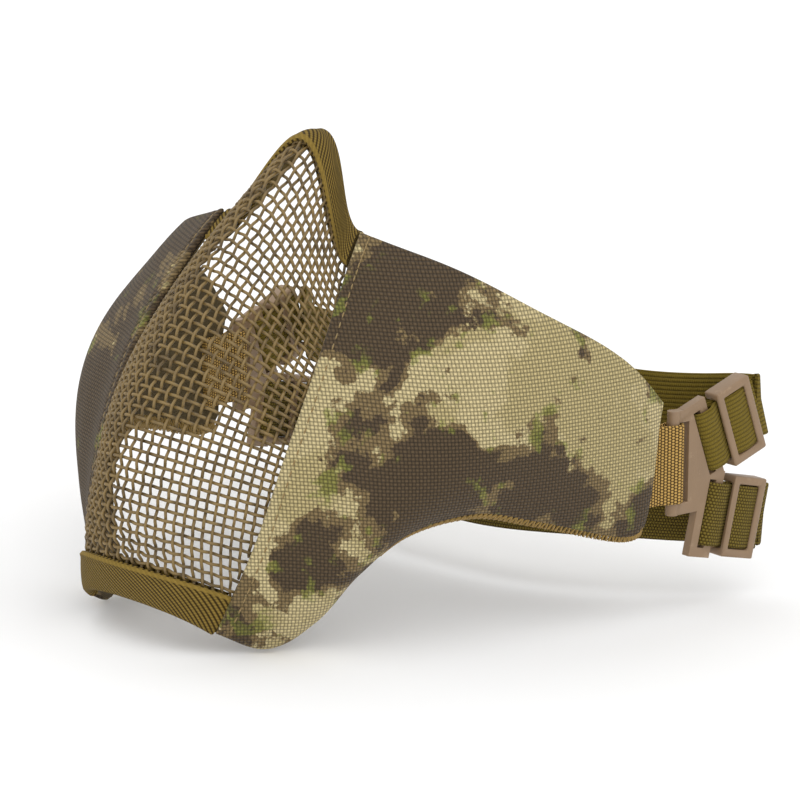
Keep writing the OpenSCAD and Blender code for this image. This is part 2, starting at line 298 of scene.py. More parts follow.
def new_mesh(name: str, verts: Iterable, faces: Iterable, edges: Iterable = ()) -> bpy.types.Object:
    """Makes a mesh object at the origin.

    Args:
        name: the piece's name.
        verts: its points, in metres.
        faces: its faces, as lists of point numbers.
        edges: loose edges, for a piece that Geometry Nodes turn solid.

    Returns:
        The object, linked to the scene.
    """
    mesh = bpy.data.meshes.new(name)
    mesh.from_pydata([tuple(p) for p in verts], list(edges), [tuple(f) for f in faces])
    mesh.update()
    obj = bpy.data.objects.new(name, mesh)
    bpy.context.scene.collection.objects.link(obj)
    return obj


def smooth(obj: bpy.types.Object, outward: bool = True) -> bpy.types.Object:
    """Shades a piece smooth and, if asked, turns its faces outwards."""
    if outward:
        work = bmesh.new()
        work.from_mesh(obj.data)
        bmesh.ops.remove_doubles(work, verts=work.verts, dist=WELD)
        bmesh.ops.recalc_face_normals(work, faces=work.faces)
        work.to_mesh(obj.data)
        work.free()
    obj.data.shade_smooth()
    obj.data.set_sharp_from_angle(angle=SHARP)
    return obj


def mirror_mesh(obj: bpy.types.Object, side: Side) -> bpy.types.Object:
    """Turns a left piece into the right one, with its faces still outwards."""
    if side is Side.RIGHT:
        obj.data.transform(Matrix.Diagonal((-1, 1, 1, 1)))
        obj.data.flip_normals()
    return obj


def baked(obj: bpy.types.Object) -> bpy.types.Object:
    """Turns a piece's modifiers into its plain mesh."""
    bpy.context.view_layer.update()
    graph = bpy.context.evaluated_depsgraph_get()
    mesh = bpy.data.meshes.new_from_object(obj.evaluated_get(graph))
    old = obj.data
    obj.modifiers.clear()
    obj.data = mesh
    bpy.data.meshes.remove(old)
    mesh.name = obj.name
    return obj


def loft(
    name: str, rings: Sequence[Sequence[np.ndarray]], uv: Callable[[int, int], tuple[float, float]]
) -> bpy.types.Object:
    """Closed tube through rings of points, with UVs in metres along and around it.

    Args:
        name: the piece's name.
        rings: rings with the same number of points each.
        uv: gives the UV of a ring's point; the number of points stands for the first one again.

    Returns:
        The object.
    """
    n, last = len(rings[0]), len(rings) - 1
    faces = [[i * n + j, (i + 1) * n + j, (i + 1) * n + (j + 1) % n, i * n + (j + 1) % n]
             for i in range(last) for j in range(n)]
    corners = [[(i, j), (i + 1, j), (i + 1, j + 1), (i, j + 1)] for i in range(last) for j in range(n)]
    faces += [list(range(n)), [last * n + j for j in reversed(range(n))]]
    corners += [[(0, j) for j in range(n)], [(last, j) for j in reversed(range(n))]]
    obj = new_mesh(name, [p for ring in rings for p in ring], faces)
    layer = obj.data.uv_layers.new(name="UVMap")
    for poly, places in zip(obj.data.polygons, corners):
        for loop, place in zip(poly.loop_indices, places):
            layer.data[loop].uv = uv(*place)
    return smooth(obj)


def band_section(width: float, thick: float, steps: int = 10) -> list[tuple[float, float]]:
    """Outline of a flat strap with rounded edges, as (across, up) from its middle."""
    half, r = width / 2 - thick / 2, thick / 2
    top = [(-half + 2 * half * k / steps, r) for k in range(steps + 1)]
    bead = [(half + r * math.sin(a), r * math.cos(a)) for a in (math.pi * k / 4 for k in (1, 2, 3))]
    return top + bead + [(-x, -y) for x, y in top] + [(-x, -y) for x, y in bead]


def travel(points: Sequence[np.ndarray]) -> np.ndarray:
    """Distance along a run of points to each of them, from 0 at the first."""
    return np.concatenate([[0.0], np.cumsum([np.linalg.norm(b - a) for a, b in zip(points, points[1:])])])


def strap_band(
    name: str, path: Sequence[np.ndarray], across: Sequence[np.ndarray], width: float, thick: float,
    first: int = 0, last: int | None = None,
) -> bpy.types.Object:
    """Flat strap along a path, with UV u along it and v across it, both in metres.

    Args:
        name: the piece's name.
        path: points of its middle line.
        across: direction of its width at each point.
        width: strap width.
        thick: strap thickness.
        first: number of the path's point where the piece starts.
        last: number of the path's point where it ends, or None for the path's end.

    Returns:
        The object.
    """
    outline, lengths, rings = band_section(width, thick), travel(path), []
    for k, here in enumerate(path):
        run = unit(path[min(k + 1, len(path) - 1)] - path[max(k - 1, 0)])
        wide = unit(across[k] - run * float(across[k] @ run))
        face = np.cross(run, wide)
        rings.append([here + wide * x + face * y for x, y in outline])
    n = len(outline)
    stretch = slice(first, None if last is None else last + 1)
    return loft(name, rings[stretch], lambda i, j: (lengths[first + i], outline[j % n][0] + width / 2))


def resampled(points: Sequence[np.ndarray], count: int) -> list[np.ndarray]:
    """A smooth path through points, with count even steps."""
    fine = [spline(points, k / FINE) for k in range(FINE + 1)]
    runs = travel(fine)
    wanted = np.linspace(0, runs[-1], count + 1)
    columns = [np.interp(wanted, runs, [p[c] for p in fine]) for c in range(3)]
    return [np.array(p) for p in zip(*columns)]


# ---------------------------------------------------------------- Geometry Nodes


class GeoTree:
    """A Geometry Nodes tree built in code, with named inputs."""

    def __init__(self, name: str) -> None:
        """Starts a tree with a geometry input and output."""
        self.tree = bpy.data.node_groups.new(name, "GeometryNodeTree")
        self.tree.interface.new_socket("Geometry", in_out="INPUT", socket_type="NodeSocketGeometry")
        self.tree.interface.new_socket("Geometry", in_out="OUTPUT", socket_type="NodeSocketGeometry")
        self.start = self.tree.nodes.new("NodeGroupInput")
        self.end = self.tree.nodes.new("NodeGroupOutput")

    def size(self, name: str, value: float) -> bpy.types.NodeSocket:
        """Adds a named size input and returns its socket inside the tree."""
        item = self.tree.interface.new_socket(name, in_out="INPUT", socket_type="NodeSocketFloat")
        item.default_value = value
        return next(s for s in self.start.outputs if s.identifier == item.identifier)

    def add(self, kind: str, settings: dict | None = None, **inputs: object) -> bpy.types.Node:
        """Adds a node.

        Args:
            kind: the node's type.
            settings: properties to set first.
            inputs: values or sockets by input name, with _ for a space.

        Returns:
            The node.
        """
        node = self.tree.nodes.new(kind)
        for key, value in (settings or {}).items():
            setattr(node, key, value)
        for key, value in inputs.items():
            wanted = key.replace("_", " ")
            socket = next((s for s in node.inputs if s.name == wanted and s.enabled), None)
            if socket is None:
                raise ValueError(f"{kind} has no input {wanted}: {[s.name for s in node.inputs]}")
            if isinstance(value, bpy.types.NodeSocket):
                self.tree.links.new(value, socket)
            else:
                socket.default_value = value
        return node

    def finish(self, geometry: bpy.types.NodeSocket, material: bpy.types.Material) -> None:
        """Realizes the instances, sets the material and closes the tree."""
        real = self.add("GeometryNodeRealizeInstances", Geometry=geometry)
        dressed = self.add("GeometryNodeSetMaterial", Geometry=real.outputs[0], Material=material)
        self.tree.links.new(dressed.outputs[0], self.end.inputs[0])

    def run(self, obj: bpy.types.Object, sizes: dict[str, float]) -> bpy.types.Object:
        """Runs the tree on a piece with its own sizes and keeps the plain mesh."""
        modifier = obj.modifiers.new("build", "NODES")
        modifier.node_group = self.tree
        for item in self.tree.interface.items_tree:
            if item.item_type == "SOCKET" and item.in_out == "INPUT" and item.name in sizes:
                modifier[item.identifier] = sizes[item.name]
        return baked(obj)


def wire_tree(material: bpy.types.Material) -> GeoTree:
    """Tree that turns loose edges into round wires."""
    geo = GeoTree("round_wires")
    radius = geo.size("Wire radius", 0.4 * MM)
    curve = geo.add("GeometryNodeMeshToCurve", Mesh=geo.start.outputs[0])
    ring = geo.add("GeometryNodeCurvePrimitiveCircle", Resolution=6, Radius=radius)
    tube = geo.add(
        "GeometryNodeCurveToMesh", Curve=curve.outputs[0], Profile_Curve=ring.outputs[0], Fill_Caps=True)
    shaded = geo.add("GeometryNodeSetShadeSmooth", Geometry=tube.outputs[0])
    geo.finish(shaded.outputs[0], material)
    return geo


def stitch_tree(material: bpy.types.Material) -> GeoTree:
    """Tree that lays one short thread at each point, along the point's 'along' direction."""
    geo = GeoTree("laid_stitches")
    radius = geo.size("Thread radius", 0.3 * MM)
    length = geo.size("Stitch length", 2.4 * MM)
    along = geo.add("GeometryNodeInputNamedAttribute", {"data_type": "FLOAT_VECTOR"}, Name="along")
    turn = geo.add("FunctionNodeAlignRotationToVector", {"axis": "Z"}, Vector=along.outputs[0])
    thread = geo.add("GeometryNodeMeshUVSphere", Segments=8, Rings=7, Radius=1.0)
    scale = geo.add("ShaderNodeCombineXYZ", X=radius, Y=radius)
    half = geo.add("ShaderNodeMath", {"operation": "MULTIPLY"})
    geo.tree.links.new(length, half.inputs[0])
    half.inputs[1].default_value = 0.5
    geo.tree.links.new(half.outputs[0], scale.inputs[2])
    rounded = geo.add("GeometryNodeSetShadeSmooth", Geometry=thread.outputs[0])
    laid = geo.add(
        "GeometryNodeInstanceOnPoints", Points=geo.start.outputs[0], Instance=rounded.outputs[0],
        Rotation=turn.outputs[0], Scale=scale.outputs[0])
    geo.finish(laid.outputs[0], material)
    return geo


def stitches(name: str, places: Sequence[tuple[np.ndarray, np.ndarray]], material: bpy.types.Material,
             radius: float, length: float) -> bpy.types.Object:
    """Threads at the given places.

    Args:
        name: the piece's name.
        places: each stitch's middle and its direction.
        material: the thread.
        radius: thread radius.
        length: stitch length.

    Returns:
        The object, as a plain mesh.
    """
    obj = new_mesh(name, [p for p, _ in places], [])
    layer = obj.data.attributes.new("along", "FLOAT_VECTOR", "POINT")
    for k, (_, direction) in enumerate(places):
        layer.data[k].vector = tuple(direction)
    return stitch_tree(material).run(obj, {"Thread radius": radius, "Stitch length": length})


# ---------------------------------------------------------------- shader maths


class Num:
    """A number that varies over a surface: arithmetic on it adds Math nodes."""

    def __init__(self, shader: "Shader", socket: bpy.types.NodeSocket) -> None:
        """Wraps a socket of a shader's tree."""
        self.shader, self.socket = shader, socket

    def _math(self, operation: str, *values: object) -> "Num":
        """Adds a Math node on this number and others."""
        node = self.shader.node("ShaderNodeMath", {"operation": operation}, dict(enumerate(values)))
        return Num(self.shader, node.outputs[0])

    def __add__(self, other: object) -> "Num":
        """Sum."""
        return self._math("ADD", self, other)

    def __sub__(self, other: object) -> "Num":
        """Difference."""
        return self._math("SUBTRACT", self, other)

    def __rsub__(self, other: object) -> "Num":
        """Difference from a plain number."""
        return self._math("SUBTRACT", other, self)

    def __mul__(self, other: object) -> "Num":
        """Product."""
        return self._math("MULTIPLY", self, other)

    def __truediv__(self, other: object) -> "Num":
        """Quotient."""
        return self._math("DIVIDE", self, other)

    __radd__ = __add__
    __rmul__ = __mul__

    def sin(self) -> "Num":
        """Sine."""
        return self._math("SINE", self)

    def wave(self) -> "Num":
        """Sine wave from 0 to 1 with one crest in each whole number."""
        return (self * (2 * math.pi)).sin() * 0.5 + 0.5

    def abs(self) -> "Num":
        """Size without sign."""
        return self._math("ABSOLUTE", self)

    def fract(self) -> "Num":
        """Part after the point."""
        return self._math("FRACT", self)

    def floor(self) -> "Num":
        """Whole part."""
        return self._math("FLOOR", self)

    def power(self, exponent: float) -> "Num":
        """Power."""
        return self._math("POWER", self, exponent)

    def at_least(self, other: object) -> "Num":
        """The larger of two."""
        return self._math("MAXIMUM", self, other)

    def odd(self) -> "Num":
        """1 where the whole number is odd, 0 where it is even."""
        return (self * 0.5).fract() * 2.0

    def step(self, low: float, high: float) -> "Num":
        """Smooth step from 0 at low to 1 at high."""
        node = self.shader.node("ShaderNodeMapRange", {"interpolation_type": "SMOOTHSTEP"},
                                {0: self, 1: low, 2: high, 3: 0.0, 4: 1.0})
        return Num(self.shader, node.outputs[0])


Colour = tuple[float, float, float]


def linear(red: int, green: int, blue: int) -> Colour:
    """A display colour of 0 to 255 as linear light."""
    shares = (channel / 255 for channel in (red, green, blue))
    return tuple(((s + 0.055) / 1.055) ** 2.4 if s > 0.04045 else s / 12.92 for s in shares)


class Shader:
    """A material built in code."""

    def __init__(self, name: str) -> None:
        """Starts a material with a Principled shader."""
        self.material = bpy.data.materials.new(name)
        self.material.use_nodes = True
        self.tree = self.material.node_tree
        self.body = self.tree.nodes["Principled BSDF"]

    def node(self, kind: str, settings: dict | None = None, inputs: dict | None = None) -> bpy.types.Node:
        """Adds a node.

        Args:
            kind: the node's type.
            settings: properties, set first.
            inputs: values, sockets or numbers by input name or place.

        Returns:
            The node.
        """
        node = self.tree.nodes.new(kind)
        for key, value in (settings or {}).items():
            setattr(node, key, value)
        for key, value in (inputs or {}).items():
            socket = node.inputs[key]
            if isinstance(value, Num):
                value = value.socket
            if isinstance(value, bpy.types.NodeSocket):
                self.tree.links.new(value, socket)
            elif isinstance(value, tuple) and len(value) == 3 and socket.type == "RGBA":
                socket.default_value = (*value, 1.0)
            else:
                socket.default_value = value
        return node

    def split(self, socket: bpy.types.NodeSocket) -> tuple[Num, Num, Num]:
        """The three parts of a vector."""
        parts = self.node("ShaderNodeSeparateXYZ", inputs={0: socket}).outputs
        return Num(self, parts[0]), Num(self, parts[1]), Num(self, parts[2])

    def place(self) -> bpy.types.NodeSocket:
        """Object coordinates."""
        return self.node("ShaderNodeTexCoord").outputs["Object"]

    def uv(self) -> tuple[Num, Num]:
        """The piece's own UVs: along and across, in metres."""
        node = self.node("ShaderNodeUVMap", {"uv_map": "UVMap"})
        return self.split(node.outputs[0])[:2]

    def noise(self, size: float, detail: float = 3.0, rough: float = 0.55, seed: float = 0.0) -> Num:
        """Noise on object coordinates with features of a size in metres, moved along by the seed."""
        moved = self.node("ShaderNodeVectorMath", {"operation": "ADD"}, {0: self.place(), 1: (seed,) * 3})
        node = self.node("ShaderNodeTexNoise", inputs={
            "Vector": moved.outputs[0], "Scale": 1 / size, "Detail": detail, "Roughness": rough})
        return Num(self, node.outputs[0])

    def mix(self, share: object, first: object, second: object) -> bpy.types.NodeSocket:
        """Mixes two colours."""
        node = self.node("ShaderNodeMix", {"data_type": "RGBA"}, {0: share, 6: first, 7: second})
        return node.outputs[2]

    def scaled(self, colour: object, share: Num) -> bpy.types.NodeSocket:
        """A colour darkened or lightened by a number."""
        joined = self.node("ShaderNodeCombineColor", inputs={0: share, 1: share, 2: share})
        node = self.node("ShaderNodeMix", {"data_type": "RGBA", "blend_type": "MULTIPLY"},
                         {0: 1.0, 6: colour, 7: joined.outputs[0]})
        return node.outputs[2]

    def finish(self, colour: object, rough: object, height: Num | None = None, depth: float = 0.0002,
               sheen: float = 0.0, specular: float = 0.3) -> bpy.types.Material:
        """Connects colour, roughness and bump.

        Args:
            colour: a colour or its socket.
            rough: roughness.
            height: 0 to 1 relief.
            depth: the relief's depth in metres.
            sheen: fuzz of a fabric.
            specular: specular level.

        Returns:
            The material.
        """
        for name, value in (("Base Color", colour), ("Roughness", rough)):
            if isinstance(value, Num):
                value = value.socket
            if isinstance(value, bpy.types.NodeSocket):
                self.tree.links.new(value, self.body.inputs[name])
            else:
                self.body.inputs[name].default_value = (*value, 1.0) if name == "Base Color" else value
        if height is not None:
            bump = self.node("ShaderNodeBump", inputs={"Strength": 1.0, "Distance": depth, "Height": height})
            self.tree.links.new(bump.outputs[0], self.body.inputs["Normal"])
        self.body.inputs["Specular IOR Level"].default_value = specular
        if sheen:
            self.body.inputs["Sheen Weight"].default_value = sheen
            self.body.inputs["Sheen Roughness"].default_value = 0.5
        return self.material


def plain_weave(along: Num, across: Num, pitch: float) -> tuple[Num, Num]:
    """Over-and-under weave.

    Args:
        along: place along the first threads, in metres.
        across: place across them.
        pitch: distance between threads.

    Returns:
        The relief from 0 to 1, and 1 where the first threads are on top.
    """
    a, b = along / pitch, across / pitch
    checker = (a.floor() + b.floor()).odd().abs()
    first = (b.fract() * math.pi).sin().power(0.6) * (0.5 + 0.5 * (a.fract() * math.pi).sin())
    second = (a.fract() * math.pi).sin().power(0.6) * (0.5 + 0.5 * (b.fract() * math.pi).sin())
    return first * checker + second * (1.0 - checker), checker


def panel_weave(sh: Shader, side: Side, pitch: float) -> tuple[Num, Num]:
    """Plain weave whose threads follow a cheek panel, with places kept above 0."""
    x, y, z = sh.split(sh.place())
    along = x * (0.5 * side.value) + y * 0.866
    return plain_weave(along + 1.0, z + 1.0, pitch)


@dataclass(frozen=True)
class CamoNylon:
    """Coarse nylon cloth printed with a ragged woodland pattern.

    Attributes:
        khaki, sand, brown, bark, moss: the printed colours; brown and bark also paint the right cheek's
            shade.
        pitch: distance between threads.
    """

    khaki: Colour = linear(170, 155, 110)
    sand: Colour = linear(185, 170, 127)
    brown: Colour = linear(118, 100, 68)
    bark: Colour = linear(80, 66, 48)
    moss: Colour = linear(124, 128, 56)
    pitch: float = 1.05 * MM

    def darkness(self, sh: Shader, zones: Sequence[tuple[np.ndarray, float]]) -> Num:
        """How strongly the dark colours take each place: ragged noise, raised near the zones' centres, which
        mark dark print and, on the right cheek, painted shade.
        """
        outside: Num | None = None
        for centre, radius in zones:
            gap = sh.node(
                "ShaderNodeVectorMath", {"operation": "DISTANCE"}, {0: sh.place(), 1: tuple(centre)})
            away = (Num(sh, gap.outputs["Value"]) / radius).step(0.0, 1.15)
            outside = away if outside is None else outside * away
        ragged = sh.noise(0.028, 7.0, 0.62, 3.0)
        small = sh.noise(0.011, 5.0, 0.6, 7.0)
        return ragged * 0.85 + small * 0.4 + (1.0 - outside) * 0.27

    def material(
        self, name: str, side: Side, zones: Sequence[tuple[np.ndarray, float]]
    ) -> bpy.types.Material:
        """Makes the cloth for one side.

        Args:
            name: the material's name.
            side: which side, because the threads follow the panel.
            zones: centre and radius of the places where dark patches gather: dark print, and on the right
                cheek also painted shade.

        Returns:
            The material.
        """
        sh = Shader(name)
        relief, warp = panel_weave(sh, side, self.pitch)
        # dark carries the print and, on the right cheek, the painted shade of the far side.
        dark = self.darkness(sh, zones)
        colour = sh.mix(sh.noise(0.035, 6.0, 0.6, 5.0).step(0.46, 0.52), self.khaki, self.sand)
        colour = sh.mix(dark.step(0.695, 0.715), colour, self.brown)
        patchy = dark + (sh.noise(0.016, 6.0, 0.6, 11.0) - 0.5) * 0.4
        colour = sh.mix(patchy.step(0.75, 0.77), colour, self.bark)
        border = dark.step(0.65, 0.69) * (1.0 - dark.step(0.78, 0.86))
        moss = sh.noise(0.010, 6.0, 0.6, 17.0).step(0.56, 0.62) * border
        colour = sh.mix(moss * 0.6, colour, self.moss)
        grain = (sh.noise(0.0011, 2.0, 0.5) - 0.5) * 0.25
        # Colour darker in the weave's low places and lighter on the thread crowns, with warp floats lighter
        # again: painted shade and highlight of the weave, over the random thread grain.
        colour = sh.scaled(colour, (0.24 + relief * 1.08 + grain) * (0.88 + 0.2 * warp))
        return sh.finish(colour, 0.86, relief, 0.34 * MM, sheen=0.08, specular=0.2)


@dataclass(frozen=True)
class TwillTape:
    """Heavy binding tape with diagonal twill ribs and a smooth selvage.

    Attributes:
        colour: the ribs.
        shade: the gaps between them.
        rib: distance between ribs.
        thread: distance between the threads of a rib.
        along, across: direction from one rib to the next, along the tape and across it.
    """

    colour: Colour = linear(133, 110, 50)
    shade: Colour = linear(58, 44, 14)
    rib: float = 1.35 * MM
    thread: float = 0.95 * MM
    along: float = 0.72
    across: float = 0.69

    def material(self, name: str, slant: float) -> bpy.types.Material:
        """Makes the tape's material on the piece's own UVs, with ribs that lean by the sign of slant."""
        sh = Shader(name)
        u, v = sh.uv()
        wave = ((u * self.along + v * (self.across * slant)) / self.rib).wave()
        thread = ((u * self.across - v * (self.along * slant)) / self.thread).wave()
        selvage = 1.0 - v.step(1.1 * MM, 1.5 * MM)
        relief = (wave * 0.7 + thread * 0.3).at_least(selvage * 0.8)
        colour = sh.mix(wave.step(0.05, 0.75).at_least(selvage * 0.8), self.shade, self.colour)
        fade = (sh.noise(0.004) - 0.5) * 0.3
        # Colour lighter on the thread crowns and darker between them: painted light on the threads, with
        # random fading from the noise.
        colour = sh.scaled(colour, 0.78 + 0.34 * thread.at_least(selvage * 0.7) + fade)
        return sh.finish(colour, 0.85, relief, 0.4 * MM, sheen=0.02, specular=0.15)


@dataclass(frozen=True)
class RibbedWebbing:
    """Webbing with ribs of small threads.

    Attributes:
        colour: the threads.
        shade: the gaps between them.
        rib: distance between ribs.
        pick: distance between the threads of a rib.
        lengthwise: whether the ribs run along the webbing.
        bead: how clearly the threads of a rib stand apart, from 0 to 1.
    """

    colour: Colour
    shade: Colour
    rib: float
    pick: float
    lengthwise: bool
    bead: float

    def material(self, name: str) -> bpy.types.Material:
        """Makes the webbing's material on the piece's own UVs."""
        sh = Shader(name)
        u, v = sh.uv()
        first, second = (v, u) if self.lengthwise else (u, v)
        a, b = first / self.rib + 0.5, second / self.pick
        rib = (a.fract() * math.pi).sin()
        pick = ((b + a.floor().odd() * 0.5).fract() * math.pi).sin()
        relief = rib.power(0.7) * ((1 - self.bead) + self.bead * pick)
        colour = sh.mix(relief.step(0.1, 0.85), self.shade, self.colour)
        colour = sh.scaled(colour, 0.9 + (sh.noise(0.0009) - 0.5) * 0.3)
        return sh.finish(colour, 0.82, relief, 0.45 * MM, sheen=0.02, specular=0.15)


@dataclass(frozen=True)
class LiningCloth:
    """Smooth close-woven lining.

    Attributes:
        colour: the cloth.
        pitch: distance between threads.
    """

    colour: Colour = linear(86, 72, 42)
    pitch: float = 0.6 * MM

    def material(self, name: str, side: Side) -> bpy.types.Material:
        """Makes the lining for one side."""
        sh = Shader(name)
        relief, _ = panel_weave(sh, side, self.pitch)
        # Colour darker in the weave's low places: painted shade between the threads, with random tone from
        # the noise.
        colour = sh.scaled(self.colour, 0.75 + relief * 0.3 + (sh.noise(0.02) - 0.5) * 0.3)
        return sh.finish(colour, 0.75, relief, 0.2 * MM, sheen=0.05, specular=0.2)


@dataclass(frozen=True)
class PaintedWire:
    """Steel wire with tan paint, darker where it is worn.

    Attributes:
        paint: the fresh paint.
        worn: the worn paint.
    """

    paint: Colour = linear(130, 107, 62)
    worn: Colour = linear(94, 76, 44)

    def material(self, name: str) -> bpy.types.Material:
        """Makes the paint."""
        sh = Shader(name)
        blotch = sh.noise(0.006, 4.0, 0.6)
        fine = sh.noise(0.0007, 3.0, 0.6)
        colour = sh.mix(blotch.step(0.42, 0.68), self.paint, self.worn)
        colour = sh.scaled(colour, 0.85 + 0.3 * fine)
        return sh.finish(colour, 0.42 + 0.2 * blotch, fine, 0.05 * MM, specular=0.5)


@dataclass(frozen=True)
class MouldedPlastic:
    """Tan acetal with a fine mould texture and faint scuffs.

    Attributes:
        colour: the plastic.
        scuff: the lighter scuffs.
    """

    colour: Colour = linear(141, 115, 87)
    scuff: Colour = linear(168, 143, 116)

    def material(self, name: str) -> bpy.types.Material:
        """Makes the plastic."""
        sh = Shader(name)
        grain = sh.noise(0.0006, 2.0, 0.5)
        scuffs = sh.noise(0.004, 5.0, 0.7).step(0.58, 0.72)
        colour = sh.mix(scuffs * 0.5, self.colour, self.scuff)
        colour = sh.scaled(colour, 0.93 + (sh.noise(0.012) - 0.5) * 0.25)
        return sh.finish(colour, 0.4 + 0.12 * grain + 0.08 * scuffs, grain, 0.05 * MM, specular=0.5)


@dataclass(frozen=True)
class Thread:
    """Twisted sewing thread.

    Attributes:
        colour: the thread.
    """

    colour: Colour

    def material(self, name: str) -> bpy.types.Material:
        """Makes the thread."""
        sh = Shader(name)
        twist = sh.noise(0.0005, 2.0, 0.5)
        colour = sh.scaled(self.colour, 0.7 + 0.6 * twist)
        return sh.finish(colour, 0.75, twist, 0.1 * MM, sheen=0.2)


def dress(obj: bpy.types.Object, material: bpy.types.Material) -> bpy.types.Object:
    """Gives a piece one material."""
    obj.data.materials.clear()
    obj.data.materials.append(material)
    return obj


def settle(obj: bpy.types.Object, body: str, nodes: Sequence[str] = ()) -> bpy.types.Object:
    """Hands a finished piece to the frame and logs it.

    Args:
        obj: the piece.
        body: the body it rides on, or "" for none.
        nodes: the CAD nodes it stands for.

    Returns:
        The piece.
    """
    if body:
        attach(obj, body)
    if nodes:
        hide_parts(*nodes)
    LOG.info("%s: %d faces on %s", obj.name, len(obj.data.polygons), body or "a blend")
    return obj


# ---------------------------------------------------------------- sub-assemblies


@dataclass
class WovenMuzzle:
    """The pressed wire mesh: crimped wires that pass over and under each other.

    Attributes:
        form: the mask's surfaces.
        pitch: distance between wires.
        wire_r: wire radius.
        fine: points from one crossing to the next.
        tuck: share of a cheek panel that a cross wire reaches under.
    """

    form: MaskForm
    pitch: float = 2.95 * MM
    wire_r: float = 0.5 * MM
    fine: int = 4
    tuck: float = 0.03

    def row_lengths(self, v: float, steps: int = 40) -> np.ndarray:
        """Distance from the middle line to the left seam along a row, at even shares of the turn."""
        return travel([self.form.muzzle(0.5 - 0.5 * k / steps, v) for k in range(steps + 1)])

    def levels(self) -> list[float]:
        """Height shares of the cross wires, a pitch apart up the muzzle's flank."""
        shares = np.linspace(0, 1, 401)
        runs = travel([self.form.muzzle(0.3, float(v)) for v in shares])
        count = round(runs[-1] / self.pitch)
        return list(np.interp(np.linspace(0, runs[-1], count + 1), runs, shares))

    def place(self, v: float, lengths: np.ndarray, distance: float) -> tuple[float, float]:
        """Surface place of a point at a distance from the middle line on a row."""
        turn = float(np.interp(abs(distance), lengths, np.linspace(0.5, 0.0, len(lengths))))
        return (turn if distance >= 0 else 1 - turn), v

    def build(self, material: bpy.types.Material) -> list[bpy.types.Object]:
        """Makes both sets of wires as two pieces."""
        rows = self.levels()
        crimp = self.wire_r * 1.15
        upright = self.upright_wires(rows, crimp)
        cross = self.cross_wires(rows, crimp)
        tree = wire_tree(material)
        return [tree.run(obj, {"Wire radius": self.wire_r}) for obj in (upright, cross)]

    def upright_wires(self, rows: list[float], crimp: float) -> bpy.types.Object:
        """Wires from the chin to the nose, each a pitch from the next; those near a seam end at it."""
        marks = np.arange(0, len(rows) - 1 + 1e-9, 1 / self.fine)
        levels = np.interp(marks, np.arange(len(rows)), rows)
        tables = [self.row_lengths(v) for v in levels]
        widest = max(t[-1] for t in tables)
        verts, edges = [], []
        reach = int(widest / self.pitch)
        for k in range(-reach, reach + 1):
            joined = False
            for mark, v, table in zip(marks, levels, tables):
                inside = abs(k * self.pitch) <= table[-1] - 0.2 * MM
                if inside:
                    a, _ = self.place(v, table, k * self.pitch)
                    lift = crimp * math.cos(math.pi * (mark + k))
                    verts.append(self.form.muzzle_at(a, v, lift))
                    if joined:
                        edges.append((len(verts) - 2, len(verts) - 1))
                joined = inside
        return new_mesh("upright_wires", verts, [], edges)

    def cross_wires(self, rows: list[float], crimp: float) -> bpy.types.Object:
        """Wires from seam to seam, with their ends under the cheek panels."""
        verts, edges = [], []
        for j, v in enumerate(rows):
            table = self.row_lengths(v)
            half = table[-1] / self.pitch
            marks = np.arange(-math.floor(half * self.fine), math.floor(half * self.fine) + 1) / self.fine
            start = len(verts)
            tuck = self.form.panel(self.tuck, v)
            verts.append(np.array([-tuck[0], tuck[1], tuck[2]]))
            for mark in marks:
                a, _ = self.place(v, table, mark * self.pitch)
                verts.append(self.form.muzzle_at(a, v, -crimp * math.cos(math.pi * (j + mark))))
            verts.append(tuck)
            edges += [(n, n + 1) for n in range(start, len(verts) - 1)]
        return new_mesh("cross_wires", verts, [], edges)


